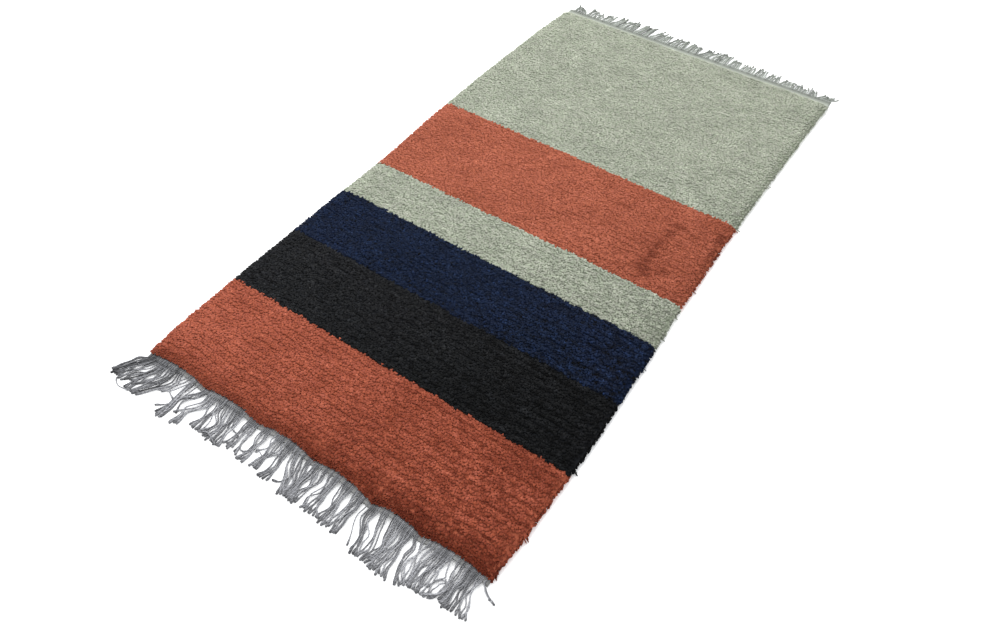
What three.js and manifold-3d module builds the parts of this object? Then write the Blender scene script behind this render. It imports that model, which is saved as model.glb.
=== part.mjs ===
// A hand-knotted wool pile rug in the Nepalese manner, 70 by 140 cm, lying flat on the floor.
// The pile stands in knotted rows across the rug and leans towards the near end, so its first
// row hangs over the near woven band and its last row leaves the far band bare. The cotton
// warps run out of both bands as fringe, gathered into loose bundles that lie on the floor.
// Millimetres, +Z up. The origin is on the floor under the middle of the pile field, +Y points
// to the far end and +X to the right, seen from the near end.
import * as THREE from "three";
import { mergeVertices } from "three/addons/utils/BufferGeometryUtils.js";
import Module from "manifold-3d";

const wasm = await Module();
wasm.setup();

// Pile field
const nearEnd = -685;
const farEnd = 702;
const rowCount = 86;
const rowPitch = (farEnd - nearEnd) / rowCount;
const groundThickness = 4.6;
const pileTop = 16;
const rowGroove = 2.6;
const crestShare = 0.76;
const nearOverhang = 6;
const farSlope = 14;
const edgeRound = 22;
const edgeShare = 0.16;
const edgeTooth = 3;
const lumpHeight = 0.7;
const rowsPerGroundPoint = 10;
const rimColumns = [0, 3, 9, 24];
const columnsPerArch = 3;

// Woven end bands and the gap that parts them from the field
const gap = 0.3;
const bandThickness = 3.2;
const nearBandWidth = 14.2;
const farBandWidth = 27.4;
const bandInset = 2;

// Fringe strands, three-sided, with a flat side on the floor
const nearStrandPitch = 5.7;
const farStrandPitch = 6.9;
const strandRadius = 1.4;
const strandTipRadius = 1.15;
const strandRootDepth = 3;
const strandRootLift = 0.5;
const strandSettle = 30;
const nearStrandSteps = 3;
const farStrandSteps = 2;

// The near end ripples: it touches the floor at these places across the rug and arches a
// little between them, upwards and back towards the field. Its right half also lies a little
// further out than its left half.
const rippleFeet = [-352, -226, -106, 13, 135, 228, 352];
const rippleHeight = 5;
const ripplePull = 5.5;
const rippleReach = 96;
const nearSkew = 5.5;
const skewStart = 10;
const skewEnd = 140;

const nearBandEdge = nearEnd - gap - nearBandWidth;
const farBandEdge = farEnd + gap + farBandWidth;

// Where the sides lie at stations along the rug, which is as uneven as hand weaving.
const sideStations = [
  { along: nearEnd, left: -361, right: 352 },
  { along: -600, left: -365, right: 356 },
  { along: -430, left: -368, right: 358 },
  { along: -250, left: -369, right: 353 },
  { along: -60, left: -367, right: 346 },
  { along: 150, left: -375, right: 343 },
  { along: 350, left: -377, right: 344 },
  { along: 550, left: -374, right: 347 },
  { along: farEnd, left: -367, right: 351 },
];

// Near fringe bundles: the stretch of the band that feeds each one, the middle of its tips,
// how far they stay apart as a share of their roots, and how far it reaches past the band.
const nearBundles = [
  { from: -354, to: -327, tip: -376, gather: 0.56, reach: 50 },
  { from: -327, to: -272, tip: -330, gather: 0.7, reach: 62 },
  { from: -272, to: -236, tip: -259, gather: 0.6, reach: 66 },
  { from: -234, to: -202, tip: -221, gather: 0.5, reach: 67 },
  { from: -194, to: -118, tip: -156, gather: 0.9, reach: 57 },
  { from: -118, to: -99, tip: -104, gather: 0.56, reach: 49 },
  { from: -99, to: -76, tip: -88, gather: 0.56, reach: 56 },
  { from: -76, to: -47, tip: -61, gather: 0.56, reach: 50 },
  { from: -47, to: -26, tip: -35, gather: 0.7, reach: 59 },
  { from: -24, to: 54, tip: 18, gather: 0.88, reach: 59 },
  { from: 54, to: 77, tip: 67, gather: 0.78, reach: 63 },
  { from: 78, to: 124, tip: 102, gather: 0.74, reach: 64 },
  { from: 127, to: 133, tip: 145, gather: 1, reach: 66 },
  { from: 134, to: 167, tip: 165, gather: 0.56, reach: 72 },
  { from: 167, to: 217, tip: 201, gather: 0.82, reach: 72 },
  { from: 227, to: 248, tip: 242, gather: 0.67, reach: 65 },
  { from: 248, to: 303, tip: 280, gather: 0.83, reach: 63 },
  { from: 303, to: 341, tip: 328, gather: 0.94, reach: 56 },
  { from: 342, to: 350, tip: 368, gather: 1, reach: 12 },
];

// Far fringe bundles: the stretch of the band that feeds each one, the middle of its tips,
// how far they stay apart as a share of their roots, and how far it reaches past the band.
const farBundles = [
  { from: -356, to: -320, tip: -345, gather: 0.5, reach: 25 },
  { from: -318, to: -300, tip: -309, gather: 1, reach: 38 },
  { from: -300, to: -276, tip: -288, gather: 1.1, reach: 28 },
  { from: -272, to: -246, tip: -257, gather: 0.9, reach: 34 },
  { from: -246, to: -220, tip: -222, gather: 0.6, reach: 42 },
  { from: -220, to: -178, tip: -194, gather: 0.65, reach: 42 },
  { from: -178, to: -154, tip: -157, gather: 0.5, reach: 44 },
  { from: -152, to: -136, tip: -140, gather: 0.7, reach: 45 },
  { from: -134, to: -82, tip: -102, gather: 0.56, reach: 37 },
  { from: -82, to: -34, tip: -53, gather: 0.5, reach: 40 },
  { from: -34, to: 4, tip: -13, gather: 0.65, reach: 37 },
  { from: 4, to: 34, tip: 30, gather: 0.8, reach: 35 },
  { from: 38, to: 82, tip: 65, gather: 0.56, reach: 42 },
  { from: 84, to: 114, tip: 100, gather: 0.7, reach: 35 },
  { from: 116, to: 152, tip: 135, gather: 0.75, reach: 33 },
  { from: 153, to: 183, tip: 167, gather: 0.76, reach: 33 },
  { from: 184, to: 217, tip: 200, gather: 0.75, reach: 31 },
  { from: 218, to: 256, tip: 239, gather: 0.6, reach: 27 },
  { from: 257, to: 290, tip: 273, gather: 0.84, reach: 25 },
  { from: 291, to: 313, tip: 299, gather: 0.73, reach: 23 },
  { from: 314, to: 347, tip: 346, gather: 0.95, reach: 19 },
];

const smooth = (a, b, x) => THREE.MathUtils.smoothstep(x, a, b);
const mix = THREE.MathUtils.lerp;

// The left or right side's place at a distance along the rug.
function sideAt(along, side) {
  const last = sideStations.length - 2;
  const after = sideStations.findIndex((s) => s.along >= along);
  const k = THREE.MathUtils.clamp(after - 1, 0, last);
  const [a, b] = [sideStations[k], sideStations[k + 1]];
  return mix(a[side], b[side], smooth(a.along, b.along, along));
}

// 0 where the near end touches the floor, 1 at the top of each arch.
function archAt(across) {
  const k = rippleFeet.findIndex((foot) => foot > across);
  if (k < 1) return 0;
  const share = (across - rippleFeet[k - 1]) / (rippleFeet[k] - rippleFeet[k - 1]);
  return Math.sin(Math.PI * share) ** 0.8;
}

// Where the mesh's columns run across the near end: close together at the rounded sides and
// evenly between the ripple's feet.
function columnPlaces() {
  const sides = ["left", "right"].map((side) => sideAt(nearEnd, side));
  const rim = rimColumns.flatMap((inset) => [sides[0] + inset, sides[1] - inset]);
  const inner = rippleFeet.slice(1).flatMap((foot, k) => {
    const before = rippleFeet[k];
    return Array.from({ length: columnsPerArch }, (_, n) => mix(before, foot, n / columnsPerArch));
  });
  const room = Math.max(...rimColumns) + 6;
  const kept = inner.filter((place) => place > sides[0] + room && place < sides[1] - room);
  return [...rim, ...kept].sort((a, b) => a - b);
}

// How strongly the ripple acts at a distance along the rug, 0 in the field and 1 at the end.
const rippleShare = (along) => 1 - smooth(nearEnd, nearEnd + rippleReach, along);

// Moves a point of the near end as the ripple and the skew do there.
function rippled(across, along, height) {
  const share = rippleShare(along);
  const arch = archAt(across) * share;
  const skew = nearSkew * smooth(skewStart, skewEnd, across) * share;
  return new THREE.Vector3(across, along + ripplePull * arch - skew, height + rippleHeight * arch);
}

// Slow lumps of the pile, from -1 to 1.
function lumpAt(across, along) {
  const slow = Math.sin(across / 61 + 2 * Math.sin(along / 143));
  const quick = Math.sin(along / 47 - across / 29 + 1.3);
  return 0.6 * slow + 0.4 * quick;
}

// 1 on the crest of a knotted row and 0 in the groove beside it.
function crestAt(along) {
  const share = THREE.MathUtils.euclideanModulo((farEnd - along) / rowPitch, 1);
  return share < crestShare ? share / crestShare : (1 - share) / (1 - crestShare);
}

// The field cut lengthwise: a flat underside, the leaning last row at the far end, a crest
// and a groove for each knotted row, and the first row's overhang at the near end.
function fieldSection() {
  const section = new THREE.Shape();
  section.moveTo(nearEnd, 0);
  for (const back of [0.25, 0.5, 0.75]) section.lineTo(nearEnd + back * rippleReach, 0);
  for (let row = rowsPerGroundPoint; row < rowCount; row += rowsPerGroundPoint) {
    section.lineTo(nearEnd + row * rowPitch, 0);
  }
  section.lineTo(farEnd, 0);
  section.lineTo(farEnd, groundThickness);
  section.lineTo(farEnd - 0.38 * farSlope, mix(groundThickness, pileTop, 0.55));
  section.lineTo(farEnd - 0.72 * farSlope, mix(groundThickness, pileTop, 0.88));
  for (let row = rowCount; row > 0; row -= 1) {
    const start = nearEnd + row * rowPitch;
    const lean = row < rowCount ? crestShare * rowPitch : farSlope;
    section.lineTo(start - lean, pileTop);
    if (row > 1) section.lineTo(start - rowPitch, pileTop - rowGroove);
  }
  const overhang = nearEnd - nearOverhang;
  section.lineTo(nearEnd - 0.45 * nearOverhang, mix(groundThickness, pileTop, 0.86));
  section.lineTo(overhang, mix(groundThickness, pileTop, 0.5));
  section.lineTo(overhang + 1, mix(groundThickness, pileTop, 0.2));
  section.lineTo(nearEnd, groundThickness);
  section.closePath();
  return section;
}

// Places a point of the straight field. Across is its share of the rug's width from the left,
// and along and height are as cut.
function fieldPoint(across, along, height) {
  const left = sideAt(along, "left");
  const right = sideAt(along, "right");
  let x = mix(left, right, across);
  const inside = Math.min(x - left, right - x);
  const fall = 1 - THREE.MathUtils.clamp(inside / edgeRound, 0, 1);
  const crown = mix(edgeShare, 1, Math.sqrt(1 - fall * fall));
  let z = height;
  if (height > groundThickness) {
    const lump = lumpHeight * lumpAt(x, along) * (height / pileTop);
    z = mix(groundThickness, height + lump, crown);
  }
  if (inside < 1) x += Math.sign(across - 0.5) * edgeTooth * (crestAt(along) - 0.5);
  return rippled(x, along, z);
}

// A mesh's geometry as a solid, for joining.
function solidOf(geometry) {
  const bare = geometry.clone();
  bare.deleteAttribute("normal");
  bare.deleteAttribute("uv");
  const merged = mergeVertices(bare, 1e-4);
  return new wasm.Manifold(
    new wasm.Mesh({
      numProp: 3,
      vertProperties: new Float32Array(merged.attributes.position.array),
      triVerts: new Uint32Array(merged.index.array),
    }),
  );
}

// A solid back as a geometry.
function geometryOf(solid) {
  const mesh = solid.getMesh();
  const geometry = new THREE.BufferGeometry();
  geometry.setAttribute("position", new THREE.BufferAttribute(mesh.vertProperties, 3));
  geometry.setIndex(new THREE.BufferAttribute(mesh.triVerts, 1));
  geometry.computeVertexNormals();
  return geometry;
}

// Moves every point of a geometry by a rule that takes and returns a place.
function reshaped(geometry, rule) {
  const position = geometry.getAttribute("position");
  const point = new THREE.Vector3();
  for (let i = 0; i < position.count; i += 1) {
    point.fromBufferAttribute(position, i);
    const moved = rule(point);
    position.setXYZ(i, moved.x, moved.y, moved.z);
  }
  return geometry;
}

function fieldGeometry() {
  const places = columnPlaces();
  const width = places.at(-1) - places[0];
  const shares = places.map((place) => (place - places[0]) / width);
  const settings = { depth: shares.length - 1, steps: shares.length - 1, bevelEnabled: false };
  const straight = new THREE.ExtrudeGeometry(fieldSection(), settings);
  const bent = reshaped(straight, (p) => fieldPoint(shares[Math.round(p.z)], p.x, p.y));
  bent.computeVertexNormals();
  return bent;
}

// A woven end band: a thin strip between two distances along the rug, with a soft outer edge.
// It has the field's columns, so that both follow the ripple alike.
function bandSolid(inner, outer) {
  const outwards = Math.sign(outer);
  const section = new THREE.Shape();
  section.moveTo(inner, 0);
  section.lineTo(inner, bandThickness);
  section.lineTo(outer - 1.5 * outwards, bandThickness);
  section.lineTo(outer, bandThickness / 2);
  section.lineTo(outer - 1 * outwards, 0);
  section.closePath();
  const places = columnPlaces();
  const [left, right] = [places[0] + bandInset, places.at(-1) - bandInset];
  const settings = { depth: places.length - 1, steps: places.length - 1, bevelEnabled: false };
  const straight = new THREE.ExtrudeGeometry(section, settings);
  return solidOf(
    reshaped(straight, (p) => {
      const across = THREE.MathUtils.clamp(places[Math.round(p.z)], left, right);
      return rippled(across, p.x, p.y);
    }),
  );
}

// One fringe strand: a three-sided taper laid along a gently swept line. It leaves the band
// at the band's height, comes down to the floor and lies on it up to its tip.
function strandSolid({ root, tip, edge, reach, steps }) {
  const outwards = Math.sign(edge);
  const start = rippled(root, edge, 0);
  const line = (share) => {
    const out = Math.max(0, share * (reach + strandRootDepth) - strandRootDepth);
    const swept = mix(root, tip, smooth(-0.25, 1.1, share));
    const settled = 1 - smooth(0, strandSettle, out);
    const lift = start.z * settled + strandRootLift * (1 - smooth(0, 0.25, share));
    const along = start.y + outwards * (share * (reach + strandRootDepth) - strandRootDepth);
    return new THREE.Vector3(swept, along, lift);
  };
  const straight = new THREE.CylinderGeometry(strandTipRadius, strandRadius, 1, 3, steps);
  return solidOf(
    reshaped(straight, (p) => {
      const share = p.y + 0.5;
      const place = line(share);
      const ahead = line(share + 0.02).sub(line(share - 0.02));
      const side = new THREE.Vector3(ahead.y, -ahead.x, 0).normalize();
      const up = p.z + 0.5 * mix(strandRadius, strandTipRadius, share);
      return place.addScaledVector(side, p.x).setZ(place.z + up);
    }),
  );
}

// A fringe's strands. Each bundle's roots are spaced evenly along its stretch of the band.
function strandsOf(bundles, pitch, edge, steps) {
  return bundles.flatMap(({ from, to, tip, gather, reach }) => {
    const count = Math.max(1, Math.round((to - from) / pitch));
    return Array.from({ length: count }, (_, k) => {
      const offset = (k - (count - 1) / 2) * ((to - from) / count);
      return {
        root: (from + to) / 2 + offset,
        tip: tip + offset * gather,
        reach: reach + (count > 1 ? 3 * Math.sin(5 * k + from) : 0),
        edge,
        steps,
      };
    });
  });
}

// A band with its strands fused into its outer edge.
function fringeGeometry(inner, outer, strands) {
  return geometryOf(wasm.Manifold.union([bandSolid(inner, outer), ...strands.map(strandSolid)]));
}

const wool = new THREE.MeshStandardMaterial({ color: 0xa7ad9b, roughness: 0.95, metalness: 0 });
const cotton = new THREE.MeshStandardMaterial({ color: 0x85878c, roughness: 0.9, metalness: 0 });

function piece(name, geometry, material) {
  const mesh = new THREE.Mesh(geometry, material);
  mesh.name = name;
  return mesh;
}

const nearInner = nearEnd - gap;
const farInner = farEnd + gap;
const nearStrands = strandsOf(nearBundles, nearStrandPitch, nearBandEdge, nearStrandSteps);
const farStrands = strandsOf(farBundles, farStrandPitch, farBandEdge, farStrandSteps);
const rug = new THREE.Group();
rug.add(
  piece("pile_field", fieldGeometry(), wool),
  piece("near_fringe", fringeGeometry(nearInner, nearBandEdge, nearStrands), cotton),
  piece("far_fringe", fringeGeometry(farInner, farBandEdge, farStrands), cotton),
);

export default rug;
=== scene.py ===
# %% [markdown]
# # A hand-knotted rug with loose fringe
# This lesson dresses a flat wool rug, 70 by 140 cm, which lies on a floor. The frame that is
# loaded here holds three plain solids: the pile field and one fringe at each end. Each of them
# is replaced by cloth made in this script: a ground weave, tens of thousands of wool tufts,
# two flat-woven end bands and the twisted cotton warp ends that run out of them.

import math

import bpy
import numpy as np
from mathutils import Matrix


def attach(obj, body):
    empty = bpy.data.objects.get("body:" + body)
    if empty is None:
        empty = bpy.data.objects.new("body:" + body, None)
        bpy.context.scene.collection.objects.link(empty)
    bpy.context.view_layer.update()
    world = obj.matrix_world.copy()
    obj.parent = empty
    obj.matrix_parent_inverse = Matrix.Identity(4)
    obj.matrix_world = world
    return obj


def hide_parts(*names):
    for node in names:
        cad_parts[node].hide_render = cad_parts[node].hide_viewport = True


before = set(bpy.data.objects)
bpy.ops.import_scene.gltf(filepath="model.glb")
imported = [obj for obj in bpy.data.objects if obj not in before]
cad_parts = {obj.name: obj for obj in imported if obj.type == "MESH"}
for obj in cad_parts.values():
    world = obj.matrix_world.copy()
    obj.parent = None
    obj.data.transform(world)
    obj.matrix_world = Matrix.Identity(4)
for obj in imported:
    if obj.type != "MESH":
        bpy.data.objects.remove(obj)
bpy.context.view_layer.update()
print("nodes:", sorted(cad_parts))

# %% [markdown]
# ## Sizes
# All sizes are in millimetres, because a weaver works in them, and are turned into metres
# once, where a mesh is filled. +Y is the far end, and the floor is at height 0.

# %% Sizes of the rug
MM = 0.001
NEAR_END, FAR_END = -685.0, 702.0
ROWS = 86
ROW_PITCH = (FAR_END - NEAR_END) / ROWS
GROUND = 4.6
PILE_TOP = 16.0
ROW_GROOVE = 2.6
CREST_SHARE = 0.76
EDGE_ROUND = 22.0
EDGE_SHARE = 0.16
EDGE_TOOTH = 2.2
print("rows of knots are", round(ROW_PITCH, 2), "mm apart")

# %% [markdown]
# ## The colours across the rug
# The weaver changes the yarn at the end of a row, so the stripes run straight across. Each
# stripe is given by its yarn, by where it starts and ends, from the far end to the near one, and
# by how plainly its rows show, because the sage and dark yarns have felted over the grooves.
# A yarn is spun from wool of two tones, and the near rust stripe has a yarn of its own, of a
# deeper red than the far one.

# %% Stripes and yarns
STRIPES = [
    {"name": "sage_far", "yarn": "sage", "start": 740, "end": 180, "rows": 0.5},
    {"name": "rust_far", "yarn": "rust", "start": 180, "end": -75, "rows": 0.8},
    {"name": "sage_near", "yarn": "sage", "start": -75, "end": -185, "rows": 0.3},
    {"name": "navy", "yarn": "navy", "start": -185, "end": -330, "rows": 0.6},
    {"name": "black", "yarn": "black", "start": -330, "end": -490, "rows": 0.6},
    {"name": "rust_near", "yarn": "deep_rust", "start": -490, "end": -740, "rows": 1.0},
]
YARNS = {
    # two tones, how dark the yarn is painted close to the camera, as shade away from the lamp,
    # how much more its green and blue sink wherever it is darker, and between which distances
    # towards the camera the wool turns coarse, with stronger painted shade in its clumps and grain
    "sage": {
        "tones": [(0.243, 0.270, 0.203), (0.278, 0.286, 0.237)],
        "painted_shade_near": 0.70, "deep": (1, 1), "coarse": (-0.4, 1.0),
    },
    "rust": {
        "tones": [(0.289, 0.0805, 0.0425), (0.262, 0.072, 0.0425)],
        "painted_shade_near": 0.68, "deep": (1.3, 1.45), "coarse": (-0.3, 1.0),
    },
    "deep_rust": {
        "tones": [(0.291, 0.0735, 0.0385), (0.255, 0.0645, 0.0385)],
        "painted_shade_near": 0.70, "deep": (1.35, 1.6), "coarse": (0.05, 1.1),
    },
    "navy": {
        "tones": [(0.0030, 0.0073, 0.0225), (0.0050, 0.0098, 0.0245)],
        "painted_shade_near": 0.85, "deep": (1, 1), "coarse": (-0.4, 1.0),
    },
    "black": {
        "tones": [(0.0062, 0.0068, 0.0081), (0.0102, 0.0104, 0.0108)],
        "painted_shade_near": 0.33, "deep": (1, 1), "coarse": (-0.4, 1.0),
    },
}
STRIPE_ENDS = np.array([stripe["end"] for stripe in STRIPES[:-1]])
STRIPE_ROWS = np.array([stripe["rows"] for stripe in STRIPES])


def rows_at(along):
    """How plainly the rows show at distances along the rug."""
    return STRIPE_ROWS[(np.asarray(along)[..., None] <= STRIPE_ENDS).sum(axis=-1)]


print("stripes:", ", ".join(s["name"] for s in STRIPES))

# %% [markdown]
# ## The outline
# Hand weaving pulls in a little here and lets out a little there. The sides are given at
# stations along the rug, and a smooth curve joins the stations.

# %% Sides of the rug
SIDE_STATIONS = np.array([
    # along, left, right
    (-685, -361, 352), (-600, -365, 356), (-430, -368, 358), (-250, -369, 353), (-60, -367, 346),
    (150, -375, 343), (350, -377, 344), (550, -374, 347), (702, -367, 351),
], float)


def smooth(low, high, x):
    share = np.clip((x - low) / (high - low), 0, 1)
    return share * share * (3 - 2 * share)


def sides_at(along):
    """The left and right edge of the rug at distances along it."""
    stations = SIDE_STATIONS[:, 0]
    k = np.clip(np.searchsorted(stations, along) - 1, 0, len(stations) - 2)
    share = smooth(stations[k], stations[k + 1], along)
    left, right = (
        SIDE_STATIONS[k, c] + (SIDE_STATIONS[k + 1, c] - SIDE_STATIONS[k, c]) * share for c in (1, 2)
    )
    return left, right


print("width at the middle:", round(float(np.subtract(*sides_at(np.array(0.0))[::-1])), 1), "mm")

# %% [markdown]
# ## The ripple
# The near end doesn't lie quite flat. It touches the floor at seven places and arches a few
# millimetres between them, which also draws it back a little. Its right half lies a little
# further out than its left half.

# %% Ripple of the near end
RIPPLE_FEET = np.array([-352, -226, -106, 13, 135, 228, 352], float)
RIPPLE_HEIGHT, RIPPLE_PULL = 5.0, 5.5
RIPPLE_REACH = 96.0
SKEW, SKEW_START, SKEW_END = 5.5, 10, 140


def arch_at(across):
    """0 where the near end touches the floor and 1 at the top of each ripple."""
    k = np.clip(np.searchsorted(RIPPLE_FEET, across) - 1, 0, len(RIPPLE_FEET) - 2)
    share = (across - RIPPLE_FEET[k]) / (RIPPLE_FEET[k + 1] - RIPPLE_FEET[k])
    return np.sin(np.pi * np.clip(share, 0, 1)) ** 0.8


def rippled(points):
    """Moves points of the near end as the ripple does, as an N by 3 array in millimetres."""
    share = 1 - smooth(NEAR_END, NEAR_END + RIPPLE_REACH, points[:, 1])
    arch = arch_at(points[:, 0]) * share
    moved = points.copy()
    moved[:, 1] += RIPPLE_PULL * arch - SKEW * smooth(SKEW_START, SKEW_END, points[:, 0]) * share
    moved[:, 2] += RIPPLE_HEIGHT * arch
    return moved


# %% [markdown]
# ## The height of the pile
# Each row of knots is a low ridge that leans to the near end, so it rises slowly and drops
# steeply. The far half and the middle of the near end have been trodden flat, so the rows
# hardly show there, and they open towards the near right. The sheared pile is also gently
# lumpy, falls away at both sides and rolls down over the near end.

# %% Height of the pile
TRODDEN_MIDDLE, TRODDEN_REACH, TRODDEN_SHARE = -10.0, 170.0, 0.45
TRODDEN_START, TRODDEN_END = -420, -560
LEAST_OPEN, MORE_OPEN = 0.06, 0.36
FAR_ROLL, NEAR_ROLL, NEAR_HANG = 15, 12, 9
LUMP = 0.7


def trodden_at(across, along):
    """How far the near end is trodden flat, which is 1 in its middle."""
    beside = np.exp(-(((across - TRODDEN_MIDDLE) / TRODDEN_REACH) ** 2))
    return beside * smooth(TRODDEN_START, TRODDEN_END, along)


def open_at(across, along):
    """How open the rows are, from 0, closed, to 1, with a deep groove between them."""
    nearness = 0.5 * across - along + 110 * np.sin(across / 90 + along / 130)
    opened = MORE_OPEN * smooth(-300, 950, nearness) * rows_at(along)
    return LEAST_OPEN + opened * (1 - TRODDEN_SHARE * trodden_at(across, along))


def crest_at(along):
    """0 in the grooves between the rows and 1 on their crests."""
    share = np.mod((FAR_END - along) / ROW_PITCH, 1)
    return np.where(share < CREST_SHARE, share / CREST_SHARE, (1 - share) / (1 - CREST_SHARE))


def lump_at(across, along):
    """Slow swells of the pile, between -1 and 1."""
    slow = np.sin(across / 61 + 2 * np.sin(along / 143))
    return 0.6 * slow + 0.4 * np.sin(along / 47 - across / 29 + 1.3)


def crown_at(across, along):
    """How much of its full height the pile has left beside the rug's sides."""
    left, right = sides_at(along)
    inside = np.minimum(across - left, right - across)
    fall = 1 - np.clip(inside / EDGE_ROUND, 0, 1)
    return EDGE_SHARE + (1 - EDGE_SHARE) * np.sqrt(1 - fall * fall)


def pile_height(across, along):
    """How high above the floor the tufts reach."""
    groove = ROW_GROOVE * open_at(across, along) * (1 - crest_at(along))
    full = PILE_TOP - groove + LUMP * lump_at(across, along)
    far = smooth(FAR_END, FAR_END - FAR_ROLL, along) ** 0.6
    ends = far * smooth(NEAR_END - NEAR_HANG, NEAR_END + NEAR_ROLL, along) ** 0.5
    return GROUND + (full - GROUND) * crown_at(across, along) * ends


print("pile height in the middle:", round(float(pile_height(np.array(0.0), np.array(3.0))), 1), "mm")

# %% [markdown]
# ## Writing node materials
# A finish is easier to read as sums than as a list of links. Term wraps one socket, and adding
# or multiplying terms adds Math nodes. Finish is one material with its shader, and its node
# method makes a node of any kind.

# %% Terms and finishes
class Term:
    """One socket of a finish, which can stand in a sum."""

    def __init__(self, finish, socket):
        self.finish, self.socket = finish, socket

    def math(self, operation, *values):
        numbered = dict(enumerate(values))
        return self.finish.node("ShaderNodeMath", {"operation": operation}, numbered)

    def __add__(self, other):
        return self.math("ADD", self, other)

    def __sub__(self, other):
        return self.math("SUBTRACT", self, other)

    def __rsub__(self, other):
        return self.math("SUBTRACT", other, self)

    def __mul__(self, other):
        return self.math("MULTIPLY", self, other)

    def __pow__(self, other):
        return self.math("POWER", self, other)

    __radd__ = __add__
    __rmul__ = __mul__

    def wave(self):
        """0 to 1 and back, once for each 2 pi."""
        return self.math("SINE", self) * 0.5 + 0.5


class Finish:
    """A material that is being put together."""

    def __init__(self, name, roughness, sheen=0.0):
        self.material = bpy.data.materials.new(name)
        self.material.use_nodes = True
        self.tree = self.material.node_tree
        self.shader = self.tree.nodes["Principled BSDF"]
        self.shader.inputs["Roughness"].default_value = roughness
        self.shader.inputs["Sheen Weight"].default_value = sheen
        self.shader.inputs["Specular IOR Level"].default_value = 0.1

    def node(self, kind, settings=None, inputs=None, output=0):
        made = self.tree.nodes.new(kind)
        for key, value in (settings or {}).items():
            setattr(made, key, value)
        for key, value in (inputs or {}).items():
            if isinstance(value, Term):
                self.tree.links.new(value.socket, made.inputs[key])
            else:
                made.inputs[key].default_value = value
        return Term(self, made.outputs[output])

    def place(self, output="Object"):
        return self.node("ShaderNodeTexCoord", output=output)

    def axis(self, vector, letter):
        return self.node("ShaderNodeSeparateXYZ", inputs={0: vector}, output=letter)

    def noise(self, scale, detail=2.0, vector=None):
        inputs = {"Vector": vector or self.place(), "Scale": scale, "Detail": detail}
        return self.node("ShaderNodeTexNoise", inputs=inputs)

    def tint(self, colour, factor, green=1, blue=1):
        """A colour made lighter or darker by a factor, green and blue by a power of it."""
        powers = {0: factor}
        for channel, power in ((1, green), (2, blue)):
            powers[channel] = factor if power == 1 else factor**power
        grey = self.node("ShaderNodeCombineXYZ", inputs=powers)
        return self.node("ShaderNodeVectorMath", {"operation": "MULTIPLY"}, {0: colour, 1: grey})

    def between(self, factor, first, second):
        """The first colour where the factor is 0 and the second where it is 1."""
        a, b = (c if isinstance(c, Term) else (*c, 1) for c in (first, second))
        inputs = {0: factor, 6: a, 7: b}
        return self.node("ShaderNodeMix", {"data_type": "RGBA"}, inputs, output=2)

    def ramp(self, value, reach, ends):
        """Goes softly from the first end to the second while the value crosses its reach."""
        inputs = {"Value": value, "From Min": reach[0], "From Max": reach[1]}
        inputs |= {"To Min": ends[0], "To Max": ends[1]}
        return self.node("ShaderNodeMapRange", {"interpolation_type": "SMOOTHSTEP"}, inputs)

    def parts(self, attribute):
        """The red, green and blue channels of a stored colour."""
        stored = self.node("ShaderNodeAttribute", {"attribute_name": attribute}, output="Color")
        return [
            self.node("ShaderNodeSeparateColor", inputs={0: stored}, output=channel)
            for channel in ("Red", "Green", "Blue")
        ]

    def bump(self, height, distance, strength=1.0):
        inputs = {"Height": height, "Distance": distance, "Strength": strength}
        self.set("Normal", self.node("ShaderNodeBump", inputs=inputs))

    def set(self, name, term):
        self.tree.links.new(term.socket, self.shader.inputs[name])


# %% [markdown]
# ## Wool
# A tuft of hand-spun wool isn't one colour. Each spinning takes the dye differently, and slow
# changes of tone run across the rug. Light and shade are painted in as well: the sides of a pale
# tuft are painted lighter, as light soaks through them, and those of a dark tuft darker, the wool
# is painted darker towards the near right, away from the lamp, and its clumps and grain are given
# painted shade. What a tuft needs for this is stored on it, in the attribute named wool: red is
# the tuft's own tone together with the shade painted onto it, green is how far up the tuft a
# point lies, and blue is which tone it was spun from. Dark wool needs stronger changes than pale
# wool before they show.

# %% Wool finishes
WOOL_KINDS = {
    # the sheen, how much the tufts, the coarseness and the patches vary, and how bright the sides
    # of a tuft are painted beside its cut end, lighter in pale wool and darker in dark wool
    "pale": {"sheen": 0.03, "tone_and_painted_shade": 1.0, "coarseness": 1.0, "patches": 0.46, "sides": 1.8},
    "dark": {"sheen": 0.01, "tone_and_painted_shade": 4.4, "coarseness": 2.0, "patches": 0.80, "sides": 0.92},
}


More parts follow.
